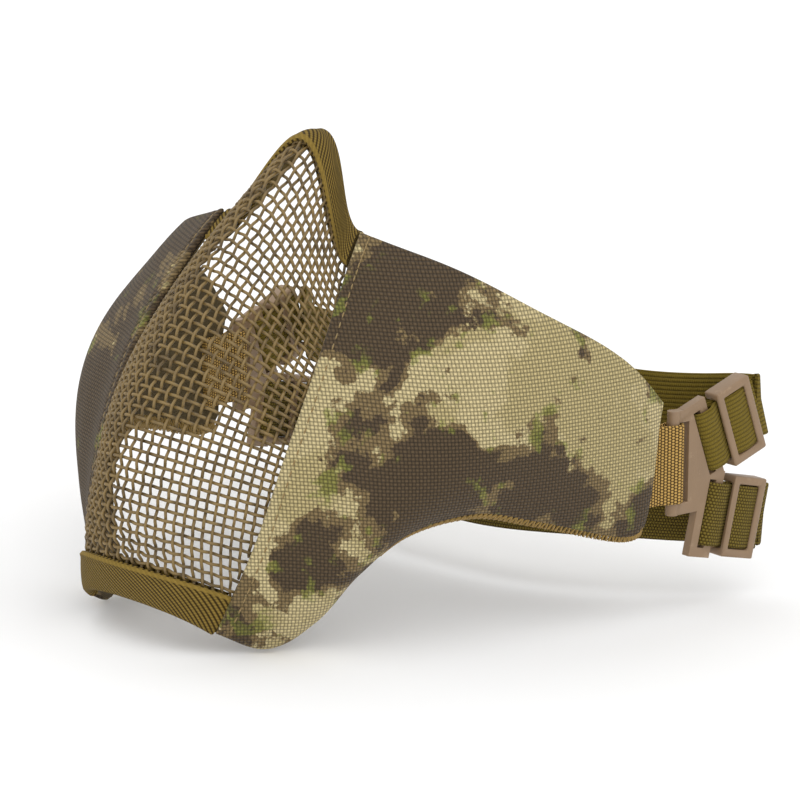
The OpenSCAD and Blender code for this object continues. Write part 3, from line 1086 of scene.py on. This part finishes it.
@dataclass
class BindingTape:
    """Folded tape over an edge of the mesh.

    Attributes:
        form: the mask's surfaces.
        top: True at the nose, False at the chin.
        depth: share of the height that a leg covers.
        thick: tape thickness.
        clear: distance from the mesh's middle surface to the tape.
        end: how close to a seam it starts.
        legs: steps down each leg.
        folds: steps round the fold.
        stations: steps along the tape.
        leg: width of a leg, for the pattern.
        crown, bead: how far the outer leg's middle and its selvage stand out.
        nip: how far the legs' ends are pressed in.
    """

    form: MaskForm
    top: bool
    depth: float
    thick: float = 1.0 * MM
    clear: float = 1.0 * MM
    end: float = 0.02
    legs: int = 12
    folds: int = 8
    stations: int = 150
    leg: float = 14 * MM
    crown: float = 0.5 * MM
    bead: float = 0.45 * MM
    nip: float = 0.35 * MM

    def at(self, a: float, d: float, h: float) -> np.ndarray:
        """Point at a leg depth share d and a height h; below 0 it goes over the edge."""
        edge, way = (1.0, -1.0) if self.top else (0.0, 1.0)
        if d >= 0:
            return self.form.muzzle_at(a, edge + way * self.depth * d, h)
        rim, inside = self.form.muzzle(a, edge), self.form.muzzle(a, edge + way * 0.02)
        return rim - unit(inside - rim) * (-d) + self.form.muzzle_normal(a, edge) * h

    def section(self, a: float) -> tuple[list[np.ndarray], list[float]]:
        """Closed outline of the folded tape at one station, and how far across the tape each point is."""
        full, leg, outline, across = self.clear + self.thick, self.leg, [], []
        for k in range(self.legs + 1):
            d = 1 - k / self.legs
            crown = self.crown * math.sin(math.pi * (1 - d)) ** 0.6 if 0 < d < 1 else 0.0
            bead = self.bead * math.exp(-(((d - 0.93) / 0.07) ** 2))
            outline.append(self.at(a, d, full + crown + bead - (self.nip if k == 0 else 0.0)))
            across.append(leg * (1 - d))
        for k in range(1, self.folds):
            turn = math.pi * k / self.folds
            outline.append(self.at(a, -full * math.sin(turn) * 0.8, full * math.cos(turn)))
            across.append(leg + full * turn)
        for k in range(self.legs + 1):
            d = k / self.legs
            outline.append(self.at(a, d, -full + (self.nip if k == self.legs else 0.0)))
            across.append(leg + full * math.pi + leg * d)
        back = 2 * leg + full * math.pi
        for d in (1.0, 0.5, 0.0):
            outline.append(self.at(a, d, -self.clear))
            across.append(back)
        for d in (0.0, 0.5, 1.0):
            outline.append(self.at(a, d, self.clear))
            across.append(back)
        return outline, across

    def build(self, name: str) -> bpy.types.Object:
        """Makes the tape."""
        edge = 1.0 - self.depth / 2 if self.top else self.depth / 2
        shares = np.linspace(self.end, 1 - self.end, FINE)
        runs = travel([self.form.muzzle(float(a), edge) for a in shares])
        even = np.interp(np.linspace(0, runs[-1], self.stations + 1), runs, shares)
        rings, tables = zip(*[self.section(float(a)) for a in even])
        step = runs[-1] / self.stations
        n = len(rings[0])
        across = list(tables[0]) + [tables[0][-1]]
        return loft(name, rings, lambda i, j: (i * step, across[min(j, n)]))


@dataclass
class CheekPanel:
    """One padded cheek panel: printed shell over foam, lining, hem, seam stitches and overlocked edge.

    Attributes:
        form: the mask's surfaces.
        side: which side.
        cols, rows: grid of the shell.
        rim: radius of the rounded edge.
        hem: distance from the front edge to the stitch line.
        length, height: the panel's size, for what is measured from its edges.
        pucker: distance between the puckers beside the hem.
        lap: how far the shell and the lining reach into each other.
        hem_stitches: stitches in the hem.
        lock_from, lock_to: where along the lower edge the overlocking starts and ends.
        lock_pitch: distance between its stitches.
        lock_reach: half the thickness that they wrap.
    """

    form: MaskForm
    side: Side
    cols: int = 110
    rows: int = 64
    rim: float = 1.5 * MM
    hem: float = 3.6 * MM
    length: float = 128 * MM
    height: float = 100 * MM
    pucker: float = 5.2 * MM
    lap: float = 0.1 * MM
    hem_stitches: int = 44
    lock_from: float = 0.44
    lock_to: float = 0.93
    lock_pitch: float = 0.95 * MM
    lock_reach: float = 1.5 * MM

    def shares(self, count: int, span: float) -> list[float]:
        """Even shares with a few more close to both edges, for the rounded rim."""
        close = [r * self.rim / span for r in (0.0, 0.08, 0.3, 0.65, 1.0)]
        middle = list(np.linspace(close[-1], 1 - close[-1], count))
        return close[:-1] + middle + [1 - c for c in reversed(close[:-1])]

    def edge_round(self, s: float, t: float) -> float:
        """0 at the panel's edge, 1 a rim's width inside it."""
        inside = min(s * self.length, (1 - s) * self.length, t * self.height, (1 - t) * self.height)
        share = min(1.0, inside / self.rim)
        return math.sqrt(max(0.0, 1 - (1 - share) ** 2))

    def relief(self, s: float, t: float) -> float:
        """Hem groove, puckers beside it and slack in the cloth, in metres."""
        past, low = s * self.length - self.hem, t * self.height
        groove = math.exp(-((past / (0.9 * MM)) ** 2))
        pucker = math.sin(2 * math.pi * low / self.pucker) * math.exp(-abs(past) / (3.5 * MM))
        slack = math.sin(9.0 * s + 4.0 * t) * math.sin(5.0 * t + 2.0) + 0.6 * math.sin(17.0 * s - 9.0 * t)
        seam_low = math.exp(-(((low - 4 * MM) / (1.6 * MM)) ** 2)) * (1.0 if s > 0.42 else 0.0)
        return -0.55 * MM * groove + 0.14 * MM * pucker + 0.28 * MM * slack - 0.3 * MM * seam_low

    @cached_property
    def grid(self) -> tuple[list[float], list[float], list[list[np.ndarray]], list[list[np.ndarray]]]:
        """Shares along and up the panel, with the surface's points and normals there."""
        s_list, t_list = self.shares(self.cols, self.length), self.shares(self.rows, self.height)
        base = [[self.form.panel(s, t) for s in s_list] for t in t_list]
        normals = [[self.form.panel_normal(s, t) for s in s_list] for t in t_list]
        return s_list, t_list, base, normals

    def skin(
        self, name: str, under: Callable[[float, float], float], over: Callable[[float, float], float]
    ) -> bpy.types.Object:
        """Closed layer between two heights, round at its rim.

        Args:
            name: the piece's name.
            under: the lower height at (s, t).
            over: the upper height at (s, t).

        Returns:
            The object.
        """
        s_list, t_list, base, normals = self.grid
        verts = []
        for which in (over, under):
            for i, t in enumerate(t_list):
                for j, s in enumerate(s_list):
                    low, high = under(s, t), over(s, t)
                    middle = (low + high) / 2
                    h = middle + ((high if which is over else low) - middle) * self.edge_round(s, t)
                    verts.append(base[i][j] + normals[i][j] * h)
        cols, rows = len(s_list), len(t_list)
        count, faces = cols * rows, []
        for i in range(rows - 1):
            for j in range(cols - 1):
                q = i * cols + j
                faces.append([q, q + 1, q + cols + 1, q + cols])
                faces.append([count + q, count + q + cols, count + q + cols + 1, count + q + 1])
        obj = smooth(new_mesh(name, verts, faces))
        return mirror_mesh(obj, self.side)

    def build(
        self, camo: bpy.types.Material, lining: bpy.types.Material, seam: bpy.types.Material,
        edge: bpy.types.Material,
    ) -> None:
        """Makes, dresses and hands over the panel's pieces."""
        form, word = self.form, self.side.word
        lining_z = (form.mesh_t / 2 + form.gap) * MM
        lining_top = lining_z + form.lining_t * MM
        padding = lining_top + form.shell_t * MM
        shell = self.skin(
            f"cheek_pad_{word}", lambda s, t: lining_top - self.lap,
            lambda s, t: padding + form.foam(s, t) + self.relief(s, t) * self.edge_round(s, t))
        dress(shell, camo)
        settle(shell, "mask", (f"cheek_shell_{word}", f"cheek_foam_{word}"))
        inner = self.skin(
            f"cheek_lining_cloth_{word}", lambda s, t: lining_z, lambda s, t: lining_top + self.lap)
        settle(dress(inner, lining), "mask", (f"cheek_lining_{word}",))
        self.seam_stitches(seam, lining_top)
        self.overlock(edge, lining_z)

    def seam_stitches(self, material: bpy.types.Material, lining_top: float) -> None:
        """Running stitches in the hem's groove."""
        form, word, places = self.form, self.side.word, []
        s = self.hem / self.length
        for k in range(1, self.hem_stitches):
            t = k / self.hem_stitches
            lift = lining_top + form.foam(s, t) + form.shell_t * MM + self.relief(s, t) + 0.12 * MM
            up = unit(form.panel(s, t + 0.01) - form.panel(s, t - 0.01))
            places.append((form.panel_at(s, t, lift), up))
        obj = stitches(f"hem_stitches_{word}", places, material, 0.26 * MM, 2.1 * MM)
        settle(mirror_mesh(obj, self.side), "mask", (f"seam_stitches_{word}",))

    def overlock(self, material: bpy.types.Material, lining_z: float) -> None:
        """Thread that wraps the lower edge behind the cheek."""
        form, word, places = self.form, self.side.word, []
        thick, start, stop = self.lock_reach, self.lock_from, self.lock_to
        middle = lining_z + 1.3 * MM
        run = travel([form.panel(float(s), 0.0) for s in np.linspace(start, stop, 300)])[-1]
        count = round(run / self.lock_pitch)
        for k in range(count + 1):
            s = start + (stop - start) * k / count
            normal = form.panel_normal(s, 0.0)
            ahead = unit(form.panel(s + 0.005, 0) - form.panel(s - 0.005, 0))
            down = unit(form.panel(s, 0.0) - form.panel(s, 0.02))
            edge_point = form.panel(s, 0.0) + normal * middle
            lean = ahead * 0.35 if k % 2 else -ahead * 0.15
            places.append((edge_point + down * 1.0 * MM, unit(normal + lean)))
            places.append((edge_point + normal * thick - down * 0.4 * MM, unit(-down + lean * 0.8)))
            places.append((edge_point - normal * thick - down * 0.4 * MM, unit(down + lean * 0.8)))
        obj = stitches(f"overlock_threads_{word}", places, material, 0.38 * MM, 3.3 * MM)
        settle(mirror_mesh(obj, self.side), "mask", (f"cheek_overlock_{word}",))


@dataclass
class Hardware:
    """One side's ring, webbing loop, sliders and doubled strap ends.

    The sizes are in millimetres.

    Attributes:
        side: which side.
        bar_at: middle of the ring's front bar.
        yaw: turn of the ring away from the middle plane, in degrees.
        anchor_w, anchor_t: width and thickness of the webbing loop.
        strap_w, strap_t: width and thickness of the elastic.
        bar_r: radius of the ring's front bar.
        gap: clearance between the bar and the webbing.
        slack: clearance between the webbing and the front slot's rear wall.
        slot_margin: width of that wall.
        slider_at, slider_len: the slider's start along the strap and its length.
    """

    side: Side
    bar_at: tuple[float, float, float] = (100.0, 65.0, -16.0)
    yaw: float = 8.0
    anchor_w: float = 25.0
    anchor_t: float = 1.2
    strap_w: float = 20.0
    strap_t: float = 1.3
    bar_r: float = 2.0
    gap: float = 0.3
    slack: float = 0.6
    slot_margin: float = 1.2
    slider_at: float = 8.0
    slider_len: float = 14.0

    def ring_matrix(self) -> Matrix:
        """Ring axes to row frame: X outwards, Y rearwards, Z along the front bar."""
        place = Matrix.Translation(Vector(self.bar_at) * MM)
        return place @ Matrix.Rotation(math.radians(-self.yaw), 4, "Z")

    def slots(self) -> dict[str, tuple[float, float, float]]:
        """Each strap slot's place in the ring's plane, and its strap's tilt in degrees."""
        front = self.bar_r + self.gap + self.anchor_t + self.slack + self.slot_margin
        return {
            "upper": (front + 6.7, self.strap_w / 2 - 5, 20.0),
            "lower": (front + 8.2, -self.strap_w / 2 - 8, -13.0),
        }

    def slot_matrix(self, which: str) -> Matrix:
        """Slot axes to row frame: X outwards, Y along the strap, Z across it."""
        y, z, tilt = self.slots()[which]
        moved = self.ring_matrix() @ Matrix.Translation(Vector((0, y, z)) * MM)
        return moved @ Matrix.Rotation(math.radians(tilt), 4, "X")

    def placed(self, obj: bpy.types.Object, matrix: Matrix) -> bpy.types.Object:
        """Puts a piece made in local axes where it belongs on its side."""
        obj.data.transform(matrix)
        return mirror_mesh(obj, self.side)

    def moulded(self, name: str, node: str, radius: float, frame: dict) -> bpy.types.Object:
        """Copy of a CAD node with soft moulded edges.

        Args:
            name: the piece's name.
            node: the CAD node.
            radius: radius of its rounded edges.
            frame: the loaded frame.

        Returns:
            The object.
        """
        obj = bpy.data.objects.new(name, frame["nodes"][node].data.copy())
        bpy.context.scene.collection.objects.link(obj)
        work = bmesh.new()
        work.from_mesh(obj.data)
        bmesh.ops.remove_doubles(work, verts=work.verts, dist=CAD_WELD)
        bmesh.ops.dissolve_limit(work, angle_limit=math.radians(1), verts=work.verts, edges=work.edges)
        work.to_mesh(obj.data)
        work.free()
        round_edges = obj.modifiers.new("round", "BEVEL")
        round_edges.width = radius
        round_edges.segments = 3
        round_edges.limit_method = "ANGLE"
        round_edges.angle_limit = math.radians(40)
        baked(obj)
        obj.data.shade_smooth()
        return obj

    def webbing(self, material: bpy.types.Material, thread: bpy.types.Material) -> None:
        """Webbing that holds the ring, from the panel, round the bar and back, and its bar tacks."""
        word, wide = self.side.word, np.array([0, 0, 1.0])
        r = self.bar_r + self.gap + self.anchor_t / 2
        bend = [vec(r * math.cos(a), r * math.sin(a), 0) for a in np.linspace(-0.15, math.pi + 0.15, 17)]
        out = [vec(0.64, -18, 0), vec(0.64, -10, 0), vec(0.7, -6, 0), vec(2.0, -3, 0)]
        path = out + bend + [vec(-p[0] / MM, p[1] / MM, 0) for p in reversed(out)]
        name, sizes = f"ring_webbing_{word}", (self.anchor_w * MM, self.anchor_t * MM)
        band = self.placed(strap_band(name, path, [wide] * len(path), *sizes), self.ring_matrix())
        settle(dress(band, material), "mask", (f"ring_anchor_{word}",))
        places = [(vec(1.35, -5.0, z), wide) for z in np.linspace(-11, 11, 11)]
        tack = stitches(f"bar_tacks_{word}", places, thread, 0.28 * MM, 1.9 * MM)
        settle(self.placed(tack, self.ring_matrix()), "mask", (f"anchor_stitches_{word}",))

    def strap_end(self, which: str, material: bpy.types.Material) -> None:
        """Doubled strap through a slot and round the ring's rear bar, and its hump over the slider's bar."""
        word, wide, sizes = self.side.word, np.array([0, 0, 1.0]), (self.strap_w * MM, self.strap_t * MM)
        outer = [vec(x, y, 0) for x, y in ((0.7, 24), (0.7, 16), (0.7, 9), (1.4, 6.8), (2.4, 5), (2.5, 3))]
        turn = [vec(x, y, 0) for x, y in ((2.3, 1.2), (1.5, 0.1), (0, -0.35), (-1.5, 0.1), (-2.3, 1.2))]
        path = resampled(outer + turn + [p * np.array([-1, 1, 1]) for p in reversed(outer)], 70)
        band = strap_band(f"{which}_strap_loop_{word}", path, [wide] * len(path), *sizes)
        band = self.placed(band, self.slot_matrix(which))
        settle(dress(band, material), f"ring_{word}", (f"{which}_strap_end_{word}",))
        middle, steps = self.slider_at + self.slider_len / 2, 24
        rises = [1.15 + 1.35 * math.sin(math.pi * k / steps) ** 1.2 for k in range(steps + 1)]
        hump = [vec(x, middle - 5.6 + 11.2 * k / steps, 0) for k, x in enumerate(rises)]
        cover = strap_band(f"{which}_strap_hump_{word}", hump, [wide] * len(hump), *sizes)
        cover = self.placed(cover, self.slot_matrix(which))
        settle(dress(cover, material), f"{which}_slider_{word}")

    def build(
        self, frame: dict, plastic: bpy.types.Material, gold: bpy.types.Material,
        upper: bpy.types.Material, lower: bpy.types.Material, thread: bpy.types.Material,
    ) -> None:
        """Makes, dresses and hands over the side's hardware."""
        word = self.side.word
        ring = self.moulded(f"three_slot_ring_{word}", f"ring_{word}", 0.7 * MM, frame)
        settle(dress(ring, plastic), f"ring_{word}", (f"ring_{word}",))
        for which, elastic in (("upper", upper), ("lower", lower)):
            name = f"{which}_slider_{word}"
            slider = self.moulded(f"{which}_strap_slider_{word}", name, 0.75 * MM, frame)
            settle(dress(slider, plastic), name, (name,))
            self.strap_end(which, elastic)
        self.webbing(gold, thread)


@dataclass
class ElasticStrap:
    """A strap between the sides: two halves that meet at the middle plane, each with a turn at its slider.

    Attributes:
        name: upper or lower.
        route: points of the left half's middle line from the slider inwards, in millimetres.
        tilt: lean of its width at the slider, in degrees.
        width: strap width.
        thick: strap thickness.
        steps: stations along the route.
        grip: station up to which the strap would keep to the slider; not used.
        join: station where the turn meets the half.
        free: station from which the strap would keep to the mask; not used.
    """

    name: str
    route: Sequence[tuple[float, float, float]]
    tilt: float
    width: float = 20 * MM
    thick: float = 1.3 * MM
    steps: int = 110
    grip: int = 10
    join: int = 24
    free: int = 66

    def leans(self) -> list[np.ndarray]:
        """Direction of the strap's width at each station."""
        across = []
        for k in range(self.steps + 1):
            lean = math.radians(self.tilt) * max(0.0, 1 - 5 * k / self.steps)
            sway = 0.05 * math.sin(2 * math.pi * k / self.steps)
            across.append(np.array([0.0, -math.sin(lean + sway), math.cos(lean + sway)]))
        return across

    def build(self, material: bpy.types.Material) -> None:
        """Makes both sides' pieces, dresses them and hides the CAD strap; the pieces ride on no body."""
        path, across = resampled([vec(*p) for p in self.route], self.steps), self.leans()
        for side in Side:
            flip, ring = np.array([side.value, 1, 1]), f"ring_{side.word}"
            slider = f"{self.name}_slider_{side.word}"
            for part, first, last, bodies, start, end in (
                ("half", self.join, self.steps, ("mask", ring), self.free, self.join),
                ("turn", 0, self.join, (ring, slider), self.join, self.grip),
            ):
                name = f"{self.name}_strap_{side.word}_{part}"
                piece = strap_band(name, path, across, self.width, self.thick, first, last)
                dress(mirror_mesh(piece, side), material)
                settle(piece, "", (f"{self.name}_strap",))
                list(bodies)
                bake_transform(piece)


@dataclass
class Studio:
    """Pale floor, soft lights and the camera.

    Attributes:
        azimuth, elevation: the camera's direction, in degrees.
        distance: from the camera to the point it looks at.
        lens, sensor: focal length and film width, in millimetres.
        aim: a point of the mask that the camera looks near.
        shift: how far the view is moved right and up from it.
        reach: half the floor's width.
        sky: strength of the light from all round.
    """

    azimuth: float = 45.0
    elevation: float = 13.0
    distance: float = 0.9
    lens: float = 132.75
    sensor: float = 36.0
    aim: tuple[float, float, float] = (0.040, 0.0, 0.0)
    shift: float = 4.6 * MM
    reach: float = 12.0
    sky: float = 1.0

    def camera(self) -> None:
        """Sets the camera."""
        a, e = math.radians(self.azimuth), math.radians(self.elevation)
        towards = Vector((math.sin(a) * math.cos(e), -math.cos(a) * math.cos(e), math.sin(e)))
        turn = towards.to_track_quat("Z", "Y")
        aim = Vector(self.aim) + turn @ Vector((self.shift, self.shift, 0))
        data = bpy.data.cameras.new("camera")
        data.lens, data.sensor_width = self.lens, self.sensor
        obj = bpy.data.objects.new("camera", data)
        obj.location = aim + towards * self.distance
        obj.rotation_euler = turn.to_euler()
        bpy.context.scene.collection.objects.link(obj)
        bpy.context.scene.camera = obj

    def sun(self, name: str, towards: tuple[float, float, float], strength: float, spread: float) -> None:
        """Adds an even soft light that comes from a direction, spread over an angle in degrees."""
        data = bpy.data.lights.new(name, "SUN")
        data.energy, data.angle = strength, math.radians(spread)
        obj = bpy.data.objects.new(name, data)
        obj.rotation_euler = Vector(towards).to_track_quat("Z", "Y").to_euler()
        bpy.context.scene.collection.objects.link(obj)

    def build(self, floor_z: float) -> None:
        """Makes the floor and the lights."""
        corners = [(-1, -1), (1, -1), (1, 1), (-1, 1)]
        verts = [(x * self.reach, y * self.reach, floor_z) for x, y in corners]
        floor = new_mesh("floor", verts, [[0, 1, 2, 3]])
        sh = Shader("pale_floor")
        dress(floor, sh.finish((0.96, 0.96, 0.96), 0.8, specular=0.1))
        floor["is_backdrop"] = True
        self.sun("key", (0.9, -0.5, 1.1), 0.55, 50.0)
        self.sun("top", (-0.2, 0.1, 1.0), 0.2, 80.0)
        world = bpy.data.worlds.new("world")
        world.use_nodes = True
        light = world.node_tree.nodes["Background"]
        light.inputs["Color"].default_value = (1, 1, 1, 1)
        light.inputs["Strength"].default_value = self.sky
        bpy.context.scene.world = world
        bpy.context.scene.view_settings.view_transform = "Standard"


UPPER_ROUTE = (
    (104, 100, -3), (104, 102.6, -3), (102, 103.4, -3), (97, 99, -3), (88, 88, -3), (76, 77, -2), (56, 67, 0),
    (30, 61, 1), (0, 59, 1),
)
LOWER_ROUTE = (
    (104, 102.5, -39), (104, 105, -39), (102, 105.6, -39), (97, 101, -39), (88, 88, -38), (76, 76, -37),
    (56, 64, -37), (30, 57, -38), (0, 55, -38),
)


DARK_ZONES = (
    (0.14, 0.9, 33), (0.03, 0.68, 18), (0.2, 0.45, 19), (0.38, 0.3, 30), (0.52, 0.16, 28),
    (0.66, 0.12, 27), (0.8, 0.1, 24), (0.93, 0.1, 18), (0.14, 0.22, 20), (0.05, 0.05, 22),
)
# Extra dark zones on the right cheek, the one turned away from the camera: painted shade, not print.
FAR_CHEEK_SHADE_ZONES = ((0.12, 0.5, 70), (0.4, 0.8, 50))


def dark_zones(form: MaskForm, side: Side) -> list[tuple[np.ndarray, float]]:
    """Centre and radius of the zones where a side's cloth goes darker, from their places on the panel: dark
    print, and on the right cheek also painted shade.
    """
    flip = np.array([side.value, 1, 1])
    # The right cheek adds its painted-shade zones to the print's zones.
    zones = DARK_ZONES + (FAR_CHEEK_SHADE_ZONES if side is Side.RIGHT else ())
    return [(form.panel(s, t) * flip, radius * MM) for s, t, radius in zones]


def main() -> None:
    """Builds every piece around the loaded frame and hands the scene over."""
    logging.basicConfig(level=logging.INFO, format="%(name)s: %(message)s")
    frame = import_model()
    cad_low, cad_high = (list(corner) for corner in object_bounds())
    studio = Studio()
    studio.camera()
    form = MaskForm()

    wire = PaintedWire().material("painted_wire")
    nose_tape = TwillTape().material("nose_twill", -1.0)
    chin_tape = TwillTape().material("chin_twill", 1.0)
    plastic = MouldedPlastic().material("tan_plastic")
    webbing = RibbedWebbing(
        linear(210, 170, 96), linear(56, 34, 8), 1.15 * MM, 0.95 * MM, False, 0.8).material("gold_webbing")
    upper_elastic = RibbedWebbing(
        linear(121, 103, 36), linear(101, 85, 26), 1.35 * MM, 0.6 * MM, True, 0.3).material("upper_elastic")
    lower_elastic = RibbedWebbing(
        linear(130, 112, 46), linear(74, 59, 16), 0.98 * MM, 0.95 * MM, True, 0.85).material("lower_elastic")
    seam = Thread(linear(140, 118, 76)).material("seam_thread")
    edge = Thread(linear(142, 114, 56)).material("edge_thread")

    wires = WovenMuzzle(form).build(wire)
    for piece in wires:
        settle(piece, "mask", ("wire_mesh",))
    nose = BindingTape(form, True, 1 / 6).build("nose_tape")
    settle(dress(nose, nose_tape), "mask", ("nose_binding",))
    chin = BindingTape(form, False, 1 / 12).build("chin_tape")
    settle(dress(chin, chin_tape), "mask", ("chin_binding",))

    for side in Side:
        camo = CamoNylon().material(f"camo_nylon_{side.word}", side, dark_zones(form, side))
        lining = LiningCloth().material(f"lining_{side.word}", side)
        CheekPanel(form, side).build(camo, lining, seam, edge)
        Hardware(side).build(frame, plastic, webbing, upper_elastic, lower_elastic, edge)

    ElasticStrap("upper", UPPER_ROUTE, 20.0).build(upper_elastic)
    ElasticStrap("lower", LOWER_ROUTE, -13.0).build(lower_elastic)

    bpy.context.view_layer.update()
    studio.build(cad_low[2] - 0.4 * MM)


if __name__ == "__main__":
    main()
